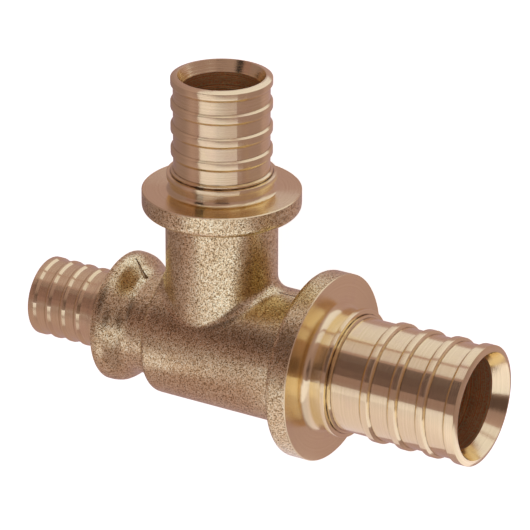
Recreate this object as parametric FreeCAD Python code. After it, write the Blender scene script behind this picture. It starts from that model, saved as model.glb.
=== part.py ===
import FreeCAD, Part
import math
import os

# Reducing tee for three pipe sizes: one brass casting with turned spigots.
# The two centre lines cross at the origin. +X runs along the run to the large spigot, +Y along the branch
# and +Z up. The tee lies on its side, with both centre lines level. All sizes are in millimetres.

# Cast body: metal outside each bore
RUN_WALL = 3.3
BRANCH_WALL = 2.97        # under the branch collar
NECK_WALL = 3.9           # waist between the body's shoulder and the small collar
SHOULDER_CLEAR = 0.05     # body's shoulder on the small side, past the branch's outside
SADDLE_BLEND = 1.3        # sloping blend between run and branch
SHOULDER_BREAK = 0.6      # sloping edge of the body's shoulder

# Collars: the pressed sleeve stops at each one's turned face, which lies FACE from the crossing
LARGE_COLLAR_R = 15.83
LARGE_COLLAR_W = 3.8
LARGE_FACE = 21.5
BRANCH_COLLAR_R = 13.24
BRANCH_COLLAR_W = 3.7
BRANCH_FACE = 27.5
SMALL_COLLAR_R = 11.15
SMALL_COLLAR_W = 2.1
SMALL_FACE = 19.2
SMALL_BACK_ANGLE = 37.0   # slope of the small collar's back, from the centre line
SMALL_BACK_BREAK = 0.9    # easier slope that leads from that back into the rim, along the centre line
BRANCH_BACK_BREAK = 0.65  # sloping cast edge behind the branch collar's rim

# Spigots: length from the collar's face, crest radius of the ribs, and bore
LARGE_LENGTH = 28.12
LARGE_CREST_R = 10.1
LARGE_BORE_R = 7.85
LARGE_MOUTH_R = 9.05
BRANCH_LENGTH = 19.86
BRANCH_CREST_R = 8.4
BRANCH_BORE_R = 6.38
BRANCH_MOUTH_R = 7.25
SMALL_LENGTH = 15.85
SMALL_CREST_R = 6.77
SMALL_BORE_R = 4.9
SMALL_MOUTH_R = 5.75

# Ribs: three square-topped ribs and a lip on each spigot
RIBS = 3
LARGE_RIB_HEIGHT = 0.55
LARGE_PITCH = 5.117
LARGE_CREST_W = 1.12
LARGE_LIP_W = 1.6
BRANCH_RIB_HEIGHT = 0.4
BRANCH_PITCH = 4.03
BRANCH_CREST_W = 1.07
BRANCH_LIP_W = 1.0
SMALL_RIB_HEIGHT = 0.27
SMALL_PITCH = 2.92
SMALL_CREST_W = 0.42
SMALL_LIP_W = 1.05
FLANK_BACK = 0.5          # flank towards the collar, along the centre line
FLANK_FRONT = 0.3         # flank towards the end
LIP_LEAD = 0.35           # how far the lip's chamfer reaches along the centre line

# Root of each spigot: a thicker shank that carries one ring
ROOT_RISE = 0.42          # shank above the spigot's own surface
RING_W = 0.9
RING_LEAD = 0.6           # slope from the ring down to the spigot, along the centre line
LARGE_RING_R = 10.83
LARGE_RING_AT = 3.5       # from the collar's face to the ring
BRANCH_RING_R = 9.12
BRANCH_RING_AT = 2.1
SMALL_RING_R = 7.25
SMALL_RING_AT = 2.1

# Waterway
MOUTH_ANGLE = 24.5        # countersink, half angle
REDUCER_AT = 7.5          # where the large bore ends, from the branch's centre line
DRILL_ANGLE = 59.0        # half angle of the drill point between the two run bores

CUT_PAST = 1.0            # how far a cutting shape, or a piece that is fused on, reaches past the edge
TOUCH = 0.01              # points this close count as on one surface

RUN_BODY_R = LARGE_BORE_R + RUN_WALL
BRANCH_BODY_R = BRANCH_BORE_R + BRANCH_WALL
NECK_R = SMALL_BORE_R + NECK_WALL
BODY_END = BRANCH_BODY_R + SHOULDER_CLEAR

X, Y, Z = FreeCAD.Vector(1, 0, 0), FreeCAD.Vector(0, 1, 0), FreeCAD.Vector(0, 0, 1)
ORIGIN = FreeCAD.Vector(0, 0, 0)

LARGE = dict(
    face=LARGE_FACE, length=LARGE_LENGTH, collar_r=LARGE_COLLAR_R, crest_r=LARGE_CREST_R,
    rib_height=LARGE_RIB_HEIGHT, pitch=LARGE_PITCH, crest_w=LARGE_CREST_W, lip_w=LARGE_LIP_W,
    ring_r=LARGE_RING_R, ring_at=LARGE_RING_AT, bore_r=LARGE_BORE_R, mouth_r=LARGE_MOUTH_R)
BRANCH = dict(
    face=BRANCH_FACE, length=BRANCH_LENGTH, collar_r=BRANCH_COLLAR_R, crest_r=BRANCH_CREST_R,
    rib_height=BRANCH_RIB_HEIGHT, pitch=BRANCH_PITCH, crest_w=BRANCH_CREST_W, lip_w=BRANCH_LIP_W,
    ring_r=BRANCH_RING_R, ring_at=BRANCH_RING_AT, bore_r=BRANCH_BORE_R, mouth_r=BRANCH_MOUTH_R)
SMALL = dict(
    face=SMALL_FACE, length=SMALL_LENGTH, collar_r=SMALL_COLLAR_R, crest_r=SMALL_CREST_R,
    rib_height=SMALL_RIB_HEIGHT, pitch=SMALL_PITCH, crest_w=SMALL_CREST_W, lip_w=SMALL_LIP_W,
    ring_r=SMALL_RING_R, ring_at=SMALL_RING_AT, bore_r=SMALL_BORE_R, mouth_r=SMALL_MOUTH_R)


def spigot(arm):
    """Corners (along, radius) of one spigot, from the edge of the collar's face out to the mouth"""
    neck = arm["crest_r"] - arm["rib_height"]
    root = neck + ROOT_RISE
    end = arm["face"] + arm["length"]
    ring = arm["face"] + arm["ring_at"]
    lip = end - LIP_LEAD - arm["lip_w"]
    corners = [(arm["face"], arm["collar_r"]), (arm["face"], root), (ring, root), (ring, arm["ring_r"]),
               (ring + RING_W, arm["ring_r"]), (ring + RING_W + RING_LEAD, neck)]
    for rib in range(RIBS, 0, -1):
        start = lip - rib * arm["pitch"]
        stop = start + arm["crest_w"]
        corners += [(start - FLANK_BACK, neck), (start, arm["crest_r"]),
                    (stop, arm["crest_r"]), (stop + FLANK_FRONT, neck)]
    return corners + [(lip - FLANK_BACK, neck), (lip, arm["crest_r"]),
                      (lip + arm["lip_w"], arm["crest_r"]), (end, arm["mouth_r"]), (end, 0)]


def mirrored(corners):
    """The same corners along the other way"""
    return [(-along, radius) for along, radius in reversed(corners)]


def turned(corners, axis):
    """Solid of revolution about the X or Y axis, from corners given along that axis"""
    points = [FreeCAD.Vector(along, radius, 0) for along, radius in corners]
    solid = Part.Face(Part.makePolygon(points + points[:1])).revolve(ORIGIN, X, 360)
    if axis == Y:
        solid.rotate(ORIGIN, Z, 90)
    return solid


def large_arm(start):
    """Run body from start, with the large collar and spigot"""
    back = LARGE_FACE - LARGE_COLLAR_W
    body = [(start, 0), (start, RUN_BODY_R), (back, RUN_BODY_R), (back, LARGE_COLLAR_R)]
    return turned(body + spigot(LARGE), X)


def branch_arm(start):
    """Branch body from start, with its collar and spigot"""
    back = BRANCH_FACE - BRANCH_COLLAR_W
    body = [(start, 0), (start, BRANCH_BODY_R), (back, BRANCH_BODY_R),
            (back, BRANCH_COLLAR_R - BRANCH_BACK_BREAK), (back + BRANCH_BACK_BREAK, BRANCH_COLLAR_R)]
    return turned(body + spigot(BRANCH), Y)


def small_arm(start):
    """Waist from start, small collar with its sloping back, and small spigot, along -X"""
    back = SMALL_FACE - SMALL_COLLAR_W
    fall = math.tan(math.radians(SMALL_BACK_ANGLE))
    eased = back - SMALL_BACK_BREAK / 2
    eased_r = SMALL_COLLAR_R - fall * SMALL_BACK_BREAK / 2
    waist = eased - (eased_r - NECK_R) / fall
    body = [(start, 0), (start, NECK_R), (waist, NECK_R), (eased, eased_r),
            (eased + SMALL_BACK_BREAK, SMALL_COLLAR_R)]
    return turned(mirrored(body + spigot(SMALL)), X)


def cross(run_end, branch_end):
    """Round bodies of run and branch up to the given ends, blended, with the shoulder's edge broken"""
    overrun = BODY_END + SADDLE_BLEND + CUT_PAST
    run = Part.makeCylinder(RUN_BODY_R, overrun + run_end, -X * overrun, X)
    branch = Part.makeCylinder(BRANCH_BODY_R, branch_end, ORIGIN, Y)
    solid = run.fuse(branch).removeSplitter()
    solid = solid.makeChamfer(SADDLE_BLEND, [e for e in solid.Edges if follows(
        e, lambda p: near(math.hypot(p.y, p.z), RUN_BODY_R) and near(math.hypot(p.x, p.z), BRANCH_BODY_R))])
    beyond = Part.makeCylinder(2 * RUN_BODY_R, overrun, -X * BODY_END, -X)
    return solid.cut(beyond).cut(shoulder_edge())


def shoulder_edge():
    """What is taken off the shoulder's edge, up to where the blend around the branch begins"""
    past = BODY_END + CUT_PAST
    rise = RUN_BODY_R + CUT_PAST
    ring = turned([(-past, RUN_BODY_R - SHOULDER_BREAK - CUT_PAST), (-past, rise),
                   (SHOULDER_BREAK + CUT_PAST - BODY_END, rise)], X)
    return ring.cut(Part.makeCylinder(BRANCH_BODY_R + SADDLE_BLEND, 2 * RUN_BODY_R, ORIGIN, Y))


def near(value, target):
    return abs(value - target) < TOUCH


def follows(edge, test):
    """True where the test holds along the whole edge"""
    span = edge.LastParameter - edge.FirstParameter
    return all(test(edge.valueAt(edge.FirstParameter + t * span)) for t in (0.1, 0.5, 0.9))


def mouth(arm):
    """Corners (along, radius) of one bore's countersink, from the bore out past the end"""
    end = arm["face"] + arm["length"]
    rise = math.tan(math.radians(MOUTH_ANGLE))
    inner = end - (arm["mouth_r"] - arm["bore_r"]) / rise
    past = end + CUT_PAST
    return [(inner, arm["bore_r"]), (past, arm["mouth_r"] + CUT_PAST * rise), (past, 0)]


def run_bore():
    """Through bore of the run, wide from the large mouth to the drill point past the branch"""
    point = (LARGE_BORE_R - SMALL_BORE_R) / math.tan(math.radians(DRILL_ANGLE))
    step = [(-REDUCER_AT - point, SMALL_BORE_R), (-REDUCER_AT, LARGE_BORE_R)]
    return turned(mirrored(mouth(SMALL)) + step + mouth(LARGE), X)


def branch_bore():
    """Bore of the branch, down to the run's centre line"""
    return turned([(0, 0), (0, BRANCH_BORE_R)] + mouth(BRANCH), Y)


def tee():
    run_end = BRANCH_BODY_R + SADDLE_BLEND + CUT_PAST
    branch_end = RUN_BODY_R + SADDLE_BLEND + CUT_PAST
    solid = cross(run_end, branch_end).fuse(
        [large_arm(run_end), branch_arm(branch_end), small_arm(BODY_END - CUT_PAST)]).removeSplitter()
    return solid.cut(run_bore().fuse(branch_bore()))


os.makedirs("parts", exist_ok=True)
body = tee()
body.exportStep("parts/tee_body.step")
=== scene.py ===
import math

import bpy
from mathutils import Matrix, Vector


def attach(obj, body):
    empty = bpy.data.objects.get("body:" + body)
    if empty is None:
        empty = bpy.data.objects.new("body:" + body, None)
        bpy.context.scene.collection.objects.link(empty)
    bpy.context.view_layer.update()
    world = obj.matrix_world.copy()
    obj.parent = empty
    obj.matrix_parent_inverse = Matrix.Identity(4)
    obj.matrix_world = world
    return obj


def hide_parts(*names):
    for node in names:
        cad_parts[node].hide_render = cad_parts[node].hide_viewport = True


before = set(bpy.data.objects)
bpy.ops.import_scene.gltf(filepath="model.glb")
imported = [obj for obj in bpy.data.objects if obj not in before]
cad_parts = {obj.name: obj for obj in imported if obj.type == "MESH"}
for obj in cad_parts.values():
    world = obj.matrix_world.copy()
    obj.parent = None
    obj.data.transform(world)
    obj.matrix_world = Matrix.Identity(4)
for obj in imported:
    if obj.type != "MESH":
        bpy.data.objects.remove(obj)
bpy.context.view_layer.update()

# Reducing tee: one brass casting with three turned, ribbed spigots.
# Sizes are in metres, in the part's frame: +X along the run to the large spigot, +Y along the branch, +Z up.
MM = 0.001

# Mesh
SEGMENTS = 160                      # facets round each turned surface
SKIN_GRID = 0.3 * MM                # cells of the cast skin
ARC_STEP = math.radians(22)         # largest turn between two facets of a rounded edge
SMOOTH_UNDER = math.radians(23.5)   # edges that turn less than this are shaded smooth

# Spigots with their collars and bores. In each, face is the distance from the crossing to the collar's turned
# face, length and ring_at go on from there, h is a height, w a width along the centre line and r a radius.
LARGE = dict(face=21.5 * MM, collar_w=3.8 * MM, collar_r=15.83 * MM, length=28.12 * MM, crest_r=10.1 * MM,
             rib_h=0.55 * MM, pitch=5.117 * MM, crest_w=1.12 * MM, lip_w=1.6 * MM,
             ring_r=10.83 * MM, ring_at=3.5 * MM, root_fillet=1.5 * MM,
             bore_r=7.85 * MM, mouth_r=9.05 * MM)
BRANCH = dict(face=27.5 * MM, collar_w=3.7 * MM, collar_r=13.24 * MM, length=19.86 * MM, crest_r=8.4 * MM,
              rib_h=0.4 * MM, pitch=4.03 * MM, crest_w=1.07 * MM, lip_w=1.0 * MM,
              ring_r=9.12 * MM, ring_at=2.1 * MM, root_fillet=1.0 * MM,
              bore_r=6.38 * MM, mouth_r=7.25 * MM)
SMALL = dict(face=19.2 * MM, collar_w=2.1 * MM, collar_r=11.15 * MM, length=15.85 * MM, crest_r=6.77 * MM,
             rib_h=0.27 * MM, pitch=2.92 * MM, crest_w=0.42 * MM, lip_w=1.05 * MM,
             ring_r=7.25 * MM, ring_at=2.1 * MM, root_fillet=0.8 * MM,
             bore_r=4.9 * MM, mouth_r=5.75 * MM)
RIBS = 3
FLANK_BACK = 0.5 * MM     # rib's flank towards the collar
FLANK_FRONT = 0.3 * MM    # rib's flank towards the end
LIP_LEAD = 0.35 * MM      # chamfer from the lip to the mouth
LAND = 0.12 * MM          # flat ring at the end of each mouth
ROOT_RISE = 0.42 * MM     # thicker root above the spigot's own surface
RING_W = 0.9 * MM
STEP_W = 0.4 * MM         # how far the root goes on past its ring
STEP_LEAD = 0.2 * MM      # slope from the root down to the spigot
EDGE = 0.09 * MM          # broken edge of ribs and rings
RIM_EDGE = 0.14 * MM      # broken edge of each turned face's rim

# Cast body: metal outside each bore, then rounds
RUN_BODY_R = LARGE["bore_r"] + 3.3 * MM
BRANCH_BODY_R = BRANCH["bore_r"] + 2.97 * MM
NECK_R = SMALL["bore_r"] + 3.9 * MM
BODY_END = BRANCH_BODY_R + 0.05 * MM    # shoulder on the small side
SADDLE_R = 2.2 * MM       # ball that would roll along the blend between run and branch
CAST_FILLET = 0.7 * MM
SHOULDER_ROUND = 0.6 * MM
LARGE_BACK_ROUND = 0.35 * MM
BRANCH_BACK_ROUND = 1.1 * MM
SMALL_BACK_ROUND = 2.8 * MM
SMALL_BACK_ANGLE = math.radians(43)
WAIST_FILLET = 2.6 * MM
SPARE = 0.6 * MM          # metal that the lathe takes off each collar's face

# Scar in the small collar's back, and how thick it is at each end
SCAR_TOP, SCAR_TOP_R = Vector((-17.0, 10.8, 0)) * MM, 0.13 * MM
SCAR_FOOT, SCAR_FOOT_R = Vector((-13.8, 8.35, 1.75)) * MM, 0.46 * MM

# Waterway
MOUTH_ANGLE = math.radians(24.5)    # countersink, half angle
REDUCER_AT = 7.5 * MM     # where the large bore ends, from the branch's centre line
DRILL_ANGLE = math.radians(59)
DRILL_POINT = (LARGE["bore_r"] - SMALL["bore_r"]) / math.tan(DRILL_ANGLE)

PAST = 1.0 * MM           # how far a tool reaches past the metal
SINK = 0.04 * MM          # how deep a root's fillet starts under the collar's face
SLACK = 0.06 * MM         # a face counts as in a bore up to this far outside its radius

# Studio
STUDIO_R = 3.0            # radius and height of the round wall
TABLE_LEAN = math.radians(25.5)
TABLE_X = 14.1 * MM       # table's left edge, at the height of the centre lines
TABLE_Y = -18.5 * MM
COOL, WHITE = (0.58, 0.76, 1.0), (0.68, 0.76, 1.0)


def picked(*pieces):
    """Selects these pieces alone, with the first one active"""
    bpy.ops.object.select_all(action="DESELECT")
    for piece in pieces:
        piece.select_set(True)
    bpy.context.view_layer.objects.active = pieces[0]


def settled(name):
    """Names the newest object, puts its place, turn and size into its mesh, and returns it"""
    bpy.ops.object.transform_apply(location=True, rotation=True, scale=True)
    bpy.context.object.name = name
    return bpy.context.object


def joined(*pieces):
    """One object from several"""
    picked(*pieces)
    bpy.ops.object.join()
    return pieces[0]


def applied(piece, kind, **settings):
    """Adds a modifier with these settings and applies it"""
    modifier = piece.modifiers.new(kind, kind)
    for setting, value in settings.items():
        setattr(modifier, setting, value)
    picked(piece)
    bpy.ops.object.modifier_apply(modifier=modifier.name)


def worked(piece, operation, tool):
    """Boolean with a tool, which is used up"""
    applied(piece, "BOOLEAN", operation=operation, object=tool, solver="MANIFOLD")
    bpy.data.objects.remove(tool)


def rounded(corners):
    """Points (along, radius) of an outline, with an arc at each corner that has a third value, its round"""
    points = []
    for i, corner in enumerate(corners):
        here = Vector(corner[:2])
        if len(corner) == 2:
            points.append(here)
            continue
        to_last = (Vector(corners[i - 1][:2]) - here).normalized()
        to_next = (Vector(corners[i + 1][:2]) - here).normalized()
        half = to_last.angle(to_next) / 2
        centre = here + (to_last + to_next).normalized() * corner[2] / math.sin(half)
        start = here + to_last * corner[2] / math.tan(half) - centre
        stop = here + to_next * corner[2] / math.tan(half) - centre
        turn = math.pi - 2 * half
        steps = max(2, math.ceil(turn / ARC_STEP))
        for step in range(steps + 1):
            a, b = math.sin(turn * (1 - step / steps)), math.sin(turn * step / steps)
            points.append(centre + (start * a + stop * b) / math.sin(turn))
    return points


def flipped(points):
    """The same outline along the other way"""
    return [(-along, radius) for along, radius in reversed(points)]


def faces_outwards():
    """Turns all faces of the active object outwards, and leaves it in object mode"""
    bpy.ops.object.mode_set(mode="EDIT")
    bpy.ops.mesh.select_all(action="SELECT")
    bpy.ops.mesh.normals_make_consistent(inside=False)
    bpy.ops.object.mode_set(mode="OBJECT")


def drawn_out(name, points, axis):
    """Turned solid: a disc at the first point, drawn out and resized from point to point along X or Y"""
    along, radius = points[0]
    bpy.ops.object.select_all(action="DESELECT")
    bpy.ops.mesh.primitive_circle_add(vertices=SEGMENTS, radius=radius, fill_type="NGON")
    bpy.ops.object.mode_set(mode="EDIT")
    bpy.ops.mesh.select_all(action="SELECT")
    bpy.ops.transform.translate(value=(0, 0, along))
    for next_along, next_radius in points[1:]:
        bpy.ops.mesh.extrude_region_move(TRANSFORM_OT_translate={"value": (0, 0, next_along - along)})
        size = next_radius / radius
        bpy.ops.transform.resize(value=(size, size, 1), center_override=(0, 0, next_along))
        along, radius = next_along, next_radius
    faces_outwards()
    to_x, to_y = (0, math.radians(90), 0), (math.radians(-90), 0, 0)
    bpy.context.object.rotation_euler = to_x if axis == "X" else to_y
    return settled(name)


def saddle_blend():
    """Closed ring whose outside rolls from the branch's wall down to the run's, flat at the shoulder"""
    rings = 10
    bpy.ops.object.select_all(action="DESELECT")
    bpy.ops.mesh.primitive_circle_add(vertices=SEGMENTS, radius=1, fill_type="NGON")
    blend = bpy.context.object
    bpy.ops.object.mode_set(mode="EDIT")
    bpy.ops.mesh.select_all(action="SELECT")
    for _ in range(rings):
        bpy.ops.mesh.extrude_region_move(TRANSFORM_OT_translate={"value": (0, 0, 1)})
    bpy.ops.object.mode_set(mode="OBJECT")
    run_reach, branch_reach = RUN_BODY_R + SADDLE_R, BRANCH_BODY_R + SADDLE_R
    for vertex in blend.data.vertices:
        turn, ring = math.atan2(vertex.co.y, vertex.co.x), round(vertex.co.z)
        across = branch_reach * math.sin(turn)
        ball = Vector((branch_reach * math.cos(turn), math.sqrt(run_reach ** 2 - across ** 2), across))
        on_branch = Vector((-ball.x, 0, -ball.z)).normalized()
        on_run = Vector((0, -ball.y, -ball.z)).normalized()
        vertex.co = ball + SADDLE_R * on_branch.slerp(on_run, ring / rings)
        vertex.co.x = max(vertex.co.x, -BODY_END)
    faces_outwards()
    return blend


def run_body():
    """Run from the shoulder on the small side to the large collar"""
    back = LARGE["face"] - LARGE["collar_w"]
    return drawn_out("tee", rounded([
        (-BODY_END, SMALL["bore_r"]), (-BODY_END, RUN_BODY_R, SHOULDER_ROUND),
        (back, RUN_BODY_R, CAST_FILLET), (back, LARGE["collar_r"], LARGE_BACK_ROUND),
        (LARGE["face"] + SPARE, LARGE["collar_r"])]), "X")


def waist():
    """Small collar with its sloping back, and the narrow neck that joins it to the run"""
    back = SMALL["face"] - SMALL["collar_w"]
    foot = back - (SMALL["collar_r"] - NECK_R) / math.tan(SMALL_BACK_ANGLE)
    return drawn_out("waist", rounded([
        (-SMALL["face"] - SPARE, SMALL["collar_r"]), (-back, SMALL["collar_r"], SMALL_BACK_ROUND),
        (-foot, NECK_R, WAIST_FILLET), (-BODY_END + PAST, NECK_R)]), "X")


def branch_body():
    """Branch from the crossing to its collar"""
    back = BRANCH["face"] - BRANCH["collar_w"]
    return drawn_out("branch", rounded([
        (0, BRANCH_BODY_R), (back, BRANCH_BODY_R, CAST_FILLET),
        (back, BRANCH["collar_r"], BRANCH_BACK_ROUND), (BRANCH["face"] + SPARE, BRANCH["collar_r"])]), "Y")


def casting():
    """The rough casting: run, waist, branch and blend under one skin, with spare metal on the collars"""
    rough = joined(run_body(), waist(), branch_body(), saddle_blend())
    applied(rough, "REMESH", mode="VOXEL", voxel_size=SKIN_GRID)
    applied(rough, "SMOOTH", factor=0.5, iterations=3)
    worked(rough, "DIFFERENCE", scar())
    return rough


def scar():
    """Slim tapered tool for the notch in the small collar's back"""
    down = SCAR_FOOT - SCAR_TOP
    bpy.ops.mesh.primitive_cone_add(vertices=16, radius1=SCAR_FOOT_R, radius2=SCAR_TOP_R, depth=down.length,
                                    location=(SCAR_TOP + SCAR_FOOT) / 2,
                                    rotation=(-down).to_track_quat("Z", "Y").to_euler())
    return settled("scar")


def face_cut(arm):
    """What the lathe takes off a collar's face, with the rim's edge broken"""
    face, rim = arm["face"], arm["collar_r"]
    return [(face, rim - RIM_EDGE), (face - 2 * RIM_EDGE, rim + RIM_EDGE), (face - 2 * RIM_EDGE, rim + PAST),
            (face + 3 * PAST, rim + PAST)]


def spigot(arm):
    """Outline of a turned spigot, from inside the collar out to the mouth"""
    neck = arm["crest_r"] - arm["rib_h"]
    root = neck + ROOT_RISE
    ring = arm["face"] + arm["ring_at"]
    end = arm["face"] + arm["length"]
    lip = end - LIP_LEAD - arm["lip_w"]
    step = ring + RING_W + STEP_W
    sunk, wide = arm["face"] - SINK, root + 1.05 * arm["root_fillet"]
    corners = [(arm["face"] - PAST, wide), (sunk, wide), (sunk, root, arm["root_fillet"]),
               (ring, root), (ring, arm["ring_r"], EDGE),
               (ring + RING_W, arm["ring_r"], EDGE), (ring + RING_W, root), (step, root),
               (step + STEP_LEAD, neck)]
    for rib in range(RIBS, 0, -1):
        start = lip - rib * arm["pitch"]
        stop = start + arm["crest_w"]
        corners += [(start - FLANK_BACK, neck), (start, arm["crest_r"], EDGE),
                    (stop, arm["crest_r"], EDGE), (stop + FLANK_FRONT, neck)]
    corners += [(lip - FLANK_BACK, neck), (lip, arm["crest_r"], EDGE),
                (lip + arm["lip_w"], arm["crest_r"], EDGE), (end, arm["mouth_r"] + LAND)]
    return rounded(corners)


def mouth_start(arm):
    """Distance from the crossing to where a bore's countersink begins"""
    return arm["face"] + arm["length"] - (arm["mouth_r"] - arm["bore_r"]) / math.tan(MOUTH_ANGLE)


def countersink(arm):
    """Outline of a mouth, from the bore out past the end"""
    past_end = arm["face"] + arm["length"] + PAST
    return [(mouth_start(arm), arm["bore_r"]), (past_end, arm["mouth_r"] + PAST * math.tan(MOUTH_ANGLE))]


def run_bore():
    """Outline of the run's bore: small bore, drill point just past the branch, large bore"""
    steps = [(-REDUCER_AT - DRILL_POINT, SMALL["bore_r"]), (-REDUCER_AT, LARGE["bore_r"])]
    return flipped(countersink(SMALL)) + steps + countersink(LARGE)


def tee_body():
    """The casting with its collars faced, spigots turned and bores drilled"""
    body = casting()
    for operation, outline in (("DIFFERENCE", face_cut), ("UNION", spigot)):
        worked(body, operation, joined(drawn_out("large_tool", outline(LARGE), "X"),
                                       drawn_out("branch_tool", outline(BRANCH), "Y"),
                                       drawn_out("small_tool", flipped(outline(SMALL)), "X")))
    worked(body, "DIFFERENCE", drawn_out("run_drill", run_bore(), "X"))
    worked(body, "DIFFERENCE", drawn_out("branch_drill", [(0, BRANCH["bore_r"])] + countersink(BRANCH), "Y"))
    return body


class Nodes:
    """A node tree, with short ways to add nodes to it"""

    def __init__(self, tree):
        self.tree = tree

    def plug(self, socket, value):
        """Links a socket if the value is another one, or else sets it"""
        if isinstance(value, bpy.types.NodeSocket):
            self.tree.links.new(value, socket)
        else:
            socket.default_value = value

    def add(self, kind, inputs=(), **settings):
        node = self.tree.nodes.new(kind)
        for setting, value in settings.items():
            setattr(node, setting, value)
        for socket, value in dict(inputs).items():
            self.plug(node.inputs[socket], value)
        return node

    def level(self, value, low, high, to_low=0.0, to_high=1.0, **settings):
        """The value, stretched so that low and high become two other levels, and held between those"""
        node = self.add("ShaderNodeMapRange", {"Value": value, "From Min": low, "From Max": high,
                                               "To Min": to_low, "To Max": to_high}, **settings)
        return node.outputs["Result"]

    def calculate(self, operation, first, second):
        return self.add("ShaderNodeMath", {0: first, 1: second}, operation=operation).outputs["Value"]


class Shader(Nodes):
    """A material with its Principled shader, whose uniform values are given as settings"""

    def __init__(self, name, **settings):
        self.material = bpy.data.materials.new(name)
        self.material.use_nodes = True
        super().__init__(self.material.node_tree)
        self.surface = self.tree.nodes["Principled BSDF"]
        self.set(**settings)

    def set(self, **sockets):
        """Plugs values into the shader's sockets, and returns the material"""
        for socket, value in sockets.items():
            self.plug(self.surface.inputs[socket.replace("_", " ")], value)
        return self.material

    def place(self):
        return self.add("ShaderNodeTexCoord").outputs["Object"]

    def noise(self, scale, detail=2, roughness=0.5):
        node = self.add("ShaderNodeTexNoise", {"Vector": self.place(), "Scale": scale, "Detail": detail,
                                               "Roughness": roughness})
        return node.outputs["Fac"]

    def lines(self, along, scale, detail=2):
        """Noise in one direction only, as a tool leaves it"""
        node = self.add("ShaderNodeTexNoise", {"W": along, "Scale": scale, "Detail": detail,
                                               "Roughness": 0.6}, noise_dimensions="1D")
        return node.outputs["Fac"]

    def blended(self, first, second, share):
        """This share of first, and the rest of second"""
        return self.calculate("ADD", self.calculate("MULTIPLY", first, share),
                              self.calculate("MULTIPLY", second, 1 - share))

    def colours(self, value, *stops):
        """Colour ramp from stops (place, colour)"""
        node = self.add("ShaderNodeValToRGB", {"Fac": value})
        ramp = node.color_ramp
        for _ in stops[2:]:
            ramp.elements.new(0.5)
        for element, (at, colour) in zip(ramp.elements, stops):
            element.position = at
            element.color = (*colour, 1)
        return node.outputs["Color"]

    def tinted(self, colour, amount, tint, blend_type="MIX"):
        """The colour, with this amount of a tint over it"""
        node = self.add("ShaderNodeMix", {0: amount}, data_type="RGBA", blend_type=blend_type)
        self.plug(node.inputs[6], colour)
        self.plug(node.inputs[7], tint if isinstance(tint, bpy.types.NodeSocket) else (*tint, 1))
        return node.outputs[2]

    def corner_shade(self, reach, open_at, shut_at, most=1.0):
        """Painted shade: the most in inner corners, such as a rib's foot, and 0 where the surface is open"""
        node = self.add("ShaderNodeAmbientOcclusion", {"Distance": reach}, samples=8, only_local=True)
        return self.level(node.outputs["AO"], shut_at, open_at, most, 0.0)

    def bump(self, height, distance, strength):
        node = self.add("ShaderNodeBump", {"Height": height, "Distance": distance, "Strength": strength})
        return node.outputs["Normal"]

    def along(self, axis):
        """Distance along one axis of the part"""
        return self.add("ShaderNodeSeparateXYZ", {"Vector": self.place()}).outputs[axis]

    def round_axis(self, axis):
        """Distance from the axis, and the direction across a lathe's rings"""
        keep, axis_direction = ((0, 1, 1), (1, 0, 0)) if axis == "X" else ((1, 0, 1), (0, 1, 0))
        flat = self.add("ShaderNodeMapping", {"Vector": self.place(), "Scale": keep}).outputs["Vector"]
        radius = self.add("ShaderNodeVectorMath", {0: flat}, operation="LENGTH").outputs["Value"]
        outward = self.add("ShaderNodeVectorMath", {0: flat}, operation="NORMALIZE").outputs["Vector"]
        across = self.add("ShaderNodeVectorMath", {0: outward, 1: axis_direction}, operation="ADD")
        return radius, across.outputs["Vector"]


def cast_brass():
    """Sand-like cast skin: grains, soft patches, painted shade in inner corners and the dark line where the
    mould's halves met
    """
    skin = Shader("cast_brass", Metallic=1.0)
    sand = skin.add("ShaderNodeTexVoronoi", {"Vector": skin.place(), "Scale": 5000}).outputs["Color"]
    grain = skin.blended(skin.noise(8000, 1), sand, 0.72)
    colour = skin.colours(grain, (0.39, (0.20, 0.13, 0.047)), (0.465, (0.79, 0.59, 0.28)),
                          (0.53, (1.0, 0.79, 0.39)), (0.60, (1.0, 0.99, 0.635)))
    patches = skin.colours(skin.noise(130), (0.36, (0.92, 0.87, 0.84)), (0.60, (1.0, 1.0, 1.0)))
    colour = skin.tinted(colour, 1.0, patches, "MULTIPLY")
    seam = mould_line(skin)
    colour = skin.tinted(colour, seam, (0.10, 0.06, 0.035))
    # painted shade: inner corners, such as the waist by the shoulder, darkened towards brown
    colour = skin.tinted(colour, skin.corner_shade(1.0 * MM, 0.9, 0.5, 0.65), (0.20, 0.125, 0.07))
    height = skin.calculate("SUBTRACT", grain, seam)
    return skin.set(Base_Color=colour, Roughness=skin.level(grain, 0.38, 0.62, 0.32, 0.24),
                    Normal=skin.bump(height, 0.025 * MM, 0.8))


def mould_line(skin):
    """1 on the thin line along the run's top, between the branch and the large collar"""
    wander = skin.level(skin.noise(260), 0.3, 0.7, -0.12 * MM, 0.12 * MM)
    off = skin.calculate("ABSOLUTE", skin.calculate("ADD", skin.along("Z"), wander), 0.0)
    thin = skin.level(off, 0.07 * MM, 0.13 * MM, 1.0, 0.0)
    past_branch = skin.level(skin.along("X"), 10.6 * MM, 11.2 * MM)
    on_top = skin.level(skin.along("Y"), 10.0 * MM, 10.5 * MM)
    below_rims = skin.level(skin.along("Y"), 12.4 * MM, 12.6 * MM, 1.0, 0.0)
    return skin.calculate("MULTIPLY", skin.calculate("MULTIPLY", thin, past_branch),
                          skin.calculate("MULTIPLY", on_top, below_rims))


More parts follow.
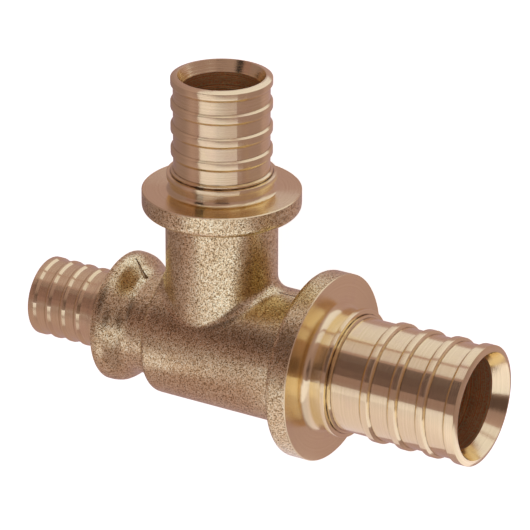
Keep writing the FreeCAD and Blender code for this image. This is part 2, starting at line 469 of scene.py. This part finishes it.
def turned_brass(name, axis, anisotropic=1.0, rough_from=0.15, groove=0.005 * MM):
    """Bright brass as a lathe leaves it: fine rings round the axis, faint stains, painted shade in the
    corners
    """
    metal = Shader(name, Metallic=1.0, Anisotropic=anisotropic)
    radius, across = metal.round_axis(axis)
    path = metal.calculate("ADD", metal.along(axis), radius)
    fine, coarse = metal.lines(path, 7000), metal.lines(path, 3200)
    colour = metal.colours(coarse, (0.32, (0.87, 0.71, 0.385)), (0.68, (0.92, 0.765, 0.435)))
    stain = metal.level(metal.noise(240, 3, 0.6), 0.52, 0.70, 0.0, 0.3)
    colour = metal.tinted(colour, stain, (0.80, 0.60, 0.40))
    uneven = metal.level(metal.noise(700), 0.35, 0.65, 0.4, 1.0)
    # painted shade in inner corners, such as a rib's foot, made uneven by noise, darkens the colour
    corner_shade = metal.calculate("MULTIPLY", metal.corner_shade(0.3 * MM, 0.92, 0.70), uneven)
    colour = metal.tinted(colour, corner_shade, (0.17, 0.095, 0.05))
    return metal.set(Base_Color=colour, Roughness=metal.level(fine, 0.3, 0.7, rough_from, rough_from + 0.05),
                     Tangent=across, Normal=metal.bump(metal.calculate("ADD", fine, coarse), groove, 0.6))


def bore_brass_painted_shade(name, axis):
    """Darker, redder brass inside a bore, painted as the bore's shade, with the drill's rings broken up into
    dots
    """
    metal = Shader(name, Metallic=1.0)
    marks = metal.blended(metal.lines(metal.along(axis), 3400, 1), metal.noise(3400, 1), 0.55)
    # painted shade: the redder stops stand in for the bore's shade and the light bouncing inside it
    colour = metal.colours(marks, (0.42, (0.92, 0.54, 0.27)), (0.56, (1.0, 0.88, 0.62)))
    return metal.set(Base_Color=colour, Roughness=metal.level(marks, 0.35, 0.65, 0.42, 0.28),
                     Normal=metal.bump(marks, 0.06 * MM, 1.0))


def finish_at(centre, normal):
    """Name of a face's finish, from its middle and the way it faces"""
    from_run, from_branch = math.hypot(centre.y, centre.z), math.hypot(centre.x, centre.z)
    on_run_end = centre.x > LARGE["face"] - RIM_EDGE or centre.x < -SMALL["face"] + RIM_EDGE
    on_branch_end = centre.y > BRANCH["face"] - RIM_EDGE
    run_bore_r = (LARGE if centre.x > -REDUCER_AT - DRILL_POINT else SMALL)["bore_r"]
    if on_run_end and abs(normal.x) > 0.99:
        return "turned_run"
    if on_branch_end and abs(normal.y) > 0.99:
        return "turned_branch"
    if centre.y > mouth_start(BRANCH) and from_branch < BRANCH["mouth_r"]:
        return "countersunk_branch"
    if on_branch_end:
        return "bored_branch" if from_branch < BRANCH["bore_r"] + SLACK else "turned_branch"
    if (centre.x > mouth_start(LARGE) and from_run < LARGE["mouth_r"]
            or centre.x < -mouth_start(SMALL) and from_run < SMALL["mouth_r"]):
        return "countersunk_run"
    if from_run < run_bore_r + SLACK:
        return "bored_run"
    if on_run_end:
        return "turned_run"
    return "bored_branch" if centre.y > 0 and from_branch < BRANCH["bore_r"] + SLACK else "cast_brass"


def finished(body):
    """Shades the body smooth up to its edges, and gives each face its finish"""
    picked(body)
    bpy.ops.object.shade_smooth_by_angle(angle=SMOOTH_UNDER)
    applied(body, "WEIGHTED_NORMAL", keep_sharp=True, weight=100)
    body.data.materials.clear()
    slots = {}
    for finish in (cast_brass(), turned_brass("turned_run", "X"), turned_brass("turned_branch", "Y"),
                   bore_brass_painted_shade("bored_run", "X"), bore_brass_painted_shade("bored_branch", "Y"),
                   turned_brass("countersunk_run", "X", 0.3, 0.12, 0.012 * MM),
                   turned_brass("countersunk_branch", "Y", 0.3, 0.12, 0.02 * MM)):
        slots[finish.name] = len(slots)
        body.data.materials.append(finish)
    for face in body.data.polygons:
        face.material_index = slots[finish_at(face.center, face.normal)]
    return body


def photo_view():
    """Camera at the photograph's angle"""
    bpy.ops.object.camera_add(location=(0.30168, 0.26741, 0.4906),
                              rotation=(math.radians(-23.665), math.radians(30.964), math.radians(0.234)))
    camera = bpy.context.object
    camera.data.lens = 257.4
    camera.data.sensor_width = 36
    camera.data.clip_end = 20
    bpy.context.scene.camera = camera


def backdrop(name):
    """Makes the newest object a plain pale part of the stage, which the metal doesn't mirror"""
    piece = settled(name)
    piece.data.materials.append(Shader("pale_" + name, Base_Color=(0.86, 0.86, 0.86, 1), Roughness=0.8,
                                       Emission_Color=(1, 1, 1, 1), Emission_Strength=0.88).material)
    piece.visible_glossy = False
    piece.visible_shadow = False
    return piece


def floor():
    """Level floor under the tee"""
    bpy.ops.mesh.primitive_plane_add(size=2 * STUDIO_R, location=(0, 0, -LARGE["collar_r"]))
    backdrop("floor")


def wall():
    """Round wall of the floor's colour, far out round the tee, which only the camera sees"""
    bpy.ops.mesh.primitive_cylinder_add(vertices=64, radius=STUDIO_R, depth=STUDIO_R, end_fill_type="NOTHING",
                                        location=(0, 0, STUDIO_R / 2 - LARGE["collar_r"]))
    backdrop("wall").visible_diffuse = False


def facing(location, target, roll=0.0):
    """Rotation of something at location whose front, its -Z side, looks at target, rolled about that line"""
    turn = (Vector(location) - Vector(target)).to_track_quat("Z", "Y").to_matrix()
    return (turn @ Matrix.Rotation(roll, 3, "Z")).to_euler()


def card(name, location, target, size, radiance, colour, roll=0.0):
    """Soft rectangular light that faces target"""
    bpy.ops.object.light_add(type="AREA", location=location, rotation=facing(location, target, roll))
    light = bpy.context.object
    light.name = name
    light.data.shape = "RECTANGLE"
    light.data.size, light.data.size_y = size
    light.data.color = colour
    light.data.energy = radiance * math.pi * size[0] * size[1]
    light.visible_camera = False


def table(name, low, high, left, right, radiance):
    """Part of a lit white table top that stands on edge beside the tee and leans to the left.
    Low and high are heights above the centre lines, left and right are measured from its left edge"""
    middle = (low + high) / 2
    edge = TABLE_X - middle * math.tan(TABLE_LEAN)
    across = Vector((math.cos(TABLE_LEAN), 0, math.sin(TABLE_LEAN))) * (left + right) / 2
    centre = Vector((edge, TABLE_Y, middle)) + across
    size = (right - left, (high - low) / math.cos(TABLE_LEAN))
    card(name, centre, centre + Vector((0, 1, 0)), size, radiance, WHITE, TABLE_LEAN)


def board(name, location, target, size, shade):
    """Dark board that only the polished metal mirrors"""
    bpy.ops.mesh.primitive_plane_add(size=1, location=location, rotation=facing(location, target))
    bpy.context.object.scale = (*size, 1)
    plane = settled(name)
    plane.data.materials.append(Shader(name, Base_Color=(*shade, 1), Roughness=1.0).material)
    plane.visible_camera = False
    plane.visible_shadow = False
    plane.visible_diffuse = False


def room():
    """Dim room that the metal mirrors, darker towards both ends of the run and overhead"""
    world = bpy.data.worlds.new("room")
    world.use_nodes = True
    bpy.context.scene.world = world
    nodes = Nodes(world.node_tree)
    direction = nodes.add("ShaderNodeTexCoord").outputs["Generated"]

    def dimmed(towards, low, high, shade):
        """1 in most directions, falling to shade in the one given"""
        nearness = nodes.add("ShaderNodeVectorMath", {0: direction, 1: Vector(towards).normalized()},
                             operation="DOT_PRODUCT")
        return nodes.level(nearness.outputs["Value"], low, high, 1.0, shade, interpolation_type="SMOOTHSTEP")

    sides = nodes.calculate("MULTIPLY", dimmed((-1, 0, -0.1), 0.5, 0.85, 0.64),
                            dimmed((0.93, -0.30, 0.20), 0.4, 0.65, 0.75))
    light = nodes.calculate("MULTIPLY", sides, dimmed((-0.1, 0.3, 0.95), 0.5, 0.9, 0.72))
    background = nodes.tree.nodes["Background"]
    nodes.plug(background.inputs["Color"], (0.46, 0.32, 0.36, 1))
    nodes.plug(background.inputs["Strength"], light)


def studio():
    """Soft light: a white table top beside the tee, two cards past the branch, a dim room and dark boards"""
    bpy.context.scene.view_settings.view_transform = "Standard"
    floor()
    wall()
    room()
    table("table_far", 0.06, 0.54, 0, 0.065, 0.76)
    table("table_far_right", 0.06, 0.54, 0.065, 0.129, 0.98)
    table("table_by_small", 0.03, 0.07, -0.0255, -0.008, 0.5)
    table("table_by_large", -0.004, 0.06, 0, 0.032, 0.50)
    table("table_right", 0, 0.06, 0.032, 0.129, 0.92)
    table("table_by_end", -0.035, 0, 0.032, 0.07, 0.92)
    card("past_branch_low", (0.10, 0.27, -0.17), (0.10, 0, 0), (0.5, 0.34), 0.7, COOL)
    card("past_branch", (0.10, 0.36, 0.08), (0.10, 0, 0), (0.5, 0.15), 0.6, COOL)
    board("dark_board", (-0.155, 0.28, 0.34), (-0.155, 0, 0), (0.16, 0.356), (0.02, 0.013, 0.015))
    board("brown_board", (-0.37, 0.19, 0.40), (-0.37, 0, 0), (0.32, 0.36), (0.25, 0.155, 0.16))
    board("camera_stand", (0.25, 0.10, 0.40), (0.05, 0, 0), (0.22, 0.26), (0.08, 0.05, 0.05))


tee = finished(tee_body())
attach(tee, "root")
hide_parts("tee_body")

photo_view()
studio()
